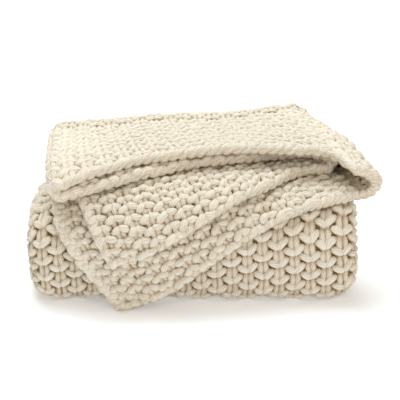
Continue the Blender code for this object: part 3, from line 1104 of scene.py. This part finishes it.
def edging(name, columns, rows, stitches, inset, turns=1.0, **measure):
    """Two strands round each other along an edge of the sheet, so many turns a stitch."""
    piece, lowest, highest = patch(name, columns, rows, **measure)
    wide = columns[1] - columns[0]
    values = {
        "Stitches": stitches,
        "Widest": float(wide),
        "Lowest Row": lowest + EDGE,
        "Highest Row": highest - EDGE,
        "Skew": 0.0,
        "Points a Stitch": 10,
        "Sides": 8,
        "Openness": EDGE_OPENNESS,
        "Open Edge": 0.0,
        "Underside": EDGE_UNDERSIDE_SHADE,
        "Seed": 3.0 + columns[0],
        "Yarn Radius": YARN_RADIUS * EDGE_PLUMP,
        "Depth": EDGE_TWIST,
        "Uneven": UNEVEN,
        "Yarn": ROVING,
        "Strands": 2,
        "Turns": turns,
        "Inset": inset,
        "Sway": EDGE_TWIST / ROW_HEIGHT,
    }
    if measure.get("turned"):       # a selvedge, along which the map's rows are its columns
        values.update({
            "Widest": highest,
            "Lowest Row": EDGE,
            "Highest Row": wide - EDGE,
            "Underside": 0.0,
            "Uneven": UNEVEN * SELVEDGE_UNEVEN,
            "Sway": EDGE_TWIST / STITCH_WIDTH,
        })
    return worked(piece, EDGING, values)


def selvedge(name, columns, inset):
    """The edging of one of the sheet's two sides."""
    return edging(
        name, columns, (0, LAST_ROW), SELVEDGE_STITCHES, inset, turns=SELVEDGE_TURNS, turned=True,
    )


edge_pieces = [
    edging("cast_on_edge", (0, LAST_COLUMN), (0, 4), LAST_COLUMN, EDGE_INSET, measured="by length"),
    edging("cast_off_edge", (0, LAST_COLUMN), (LAST_ROW - 2, LAST_ROW), LAST_COLUMN, 2 - EDGE_INSET),
    selvedge("lower_selvedge", (0, 1), EDGE_INSET),
    selvedge("upper_selvedge", (LAST_COLUMN - 1, LAST_COLUMN), 1 - EDGE_INSET),
]
stitch_pieces + edge_pieces


# ---- The floor, the light and the camera ---------------------------------------------
# A wide pale floor with painted light: it glows a little, less so near the blanket, where its shade
# falls. One large soft lamp hangs overhead and a weaker one stands in front, in a warm light room.

FLOOR_SIZE = 16.0
FLOOR_COLOUR = (0.90, 0.93, 0.975)
GLOW_COLOUR = (0.96, 0.97, 1.0)
GLOW_FROM, GLOW_TO = 0.25, 1.3      # distances over which the glow grows
GLOW_NEAR, GLOW_FAR = 0.25, 0.5

bpy.ops.mesh.primitive_plane_add(size=FLOOR_SIZE)
floor = bpy.context.object
floor.name = "floor"
floor_material, floor_tree, floor_shader = new_material("pale_floor")
floor_shader.inputs["Base Color"].default_value = (*FLOOR_COLOUR, 1)
floor_shader.inputs["Roughness"].default_value = 0.9
floor_place = node(floor_tree, "ShaderNodeTexCoord", {}, {})[3]
from_middle = node(floor_tree, "ShaderNodeVectorMath", {"operation": "LENGTH"}, {0: floor_place})[0]
# Painted light: the floor's glow, weaker near the blanket.
glow = node(
    floor_tree, "ShaderNodeMapRange", {"interpolation_type": "SMOOTHSTEP"},
    {
        "Value": from_middle, "From Min": GLOW_FROM, "From Max": GLOW_TO,
        "To Min": GLOW_NEAR, "To Max": GLOW_FAR,
    },
)[0]
red, green, blue = (glow * part for part in GLOW_COLOUR)
glow = node(floor_tree, "ShaderNodeCombineColor", {}, {"Red": red, "Green": green, "Blue": blue})[0]
floor_tree.links.new(glow.socket, floor_shader.inputs["Emission Color"])
floor_shader.inputs["Emission Strength"].default_value = 1.0
floor.data.materials.append(floor_material)

ROOM_COLOUR, ROOM_LIGHT = (1.0, 0.865, 0.70), 0.50

bpy.context.scene.view_settings.view_transform = "Standard"
world = bpy.data.worlds.new("studio")
bpy.context.scene.world = world
world.use_nodes = True
background = world.node_tree.nodes["Background"]
background.inputs["Color"].default_value = (*ROOM_COLOUR, 1)
background.inputs["Strength"].default_value = ROOM_LIGHT

Lamp = namedtuple("Lamp", "name place aim size power colour")
LAMPS = (
    Lamp("overhead", (-0.25, 0.35, 1.7), (0, 0, 0.1), 1.2, 26.2, (0.84, 0.935, 1.0)),
    Lamp("front", (0.6, -1.6, 1.1), (0, 0, 0.1), 1.4, 8.5, (1.0, 0.98, 0.95)),
)


def aimed(thing, place, aim):
    """Puts a lamp or the camera at a place, looking at another."""
    x, y, z = np.array(aim, dtype=float) - np.array(place, dtype=float)
    thing.location = place
    up, round_z = math.atan2(z, math.hypot(x, y)), math.atan2(y, x)
    thing.rotation_euler = (math.pi / 2 + up, 0, round_z - math.pi / 2)


for lamp in LAMPS:
    light = bpy.data.lights.new(lamp.name, "AREA")
    light.size, light.energy, light.color = lamp.size, lamp.power, lamp.colour
    holder = bpy.data.objects.new(lamp.name, light)
    bpy.context.scene.collection.objects.link(holder)
    aimed(holder, lamp.place, lamp.aim)

CAMERA_ELEVATION = math.radians(20.5)
CAMERA_DISTANCE = 1.6
CAMERA_AIM = (-MIDDLE_X, -MIDDLE_Y, 0.1355)
SENSOR_WIDTH, FOCAL_LENGTH = 36.0, 124.55

camera = bpy.data.objects.new("camera", bpy.data.cameras.new("camera"))
bpy.context.scene.collection.objects.link(camera)
bpy.context.scene.camera = camera
camera.data.sensor_width, camera.data.lens = SENSOR_WIDTH, FOCAL_LENGTH
aimed(
    camera,
    (
        CAMERA_AIM[0],
        CAMERA_AIM[1] - CAMERA_DISTANCE * math.cos(CAMERA_ELEVATION),
        CAMERA_AIM[2] + CAMERA_DISTANCE * math.sin(CAMERA_ELEVATION),
    ),
    CAMERA_AIM,
)
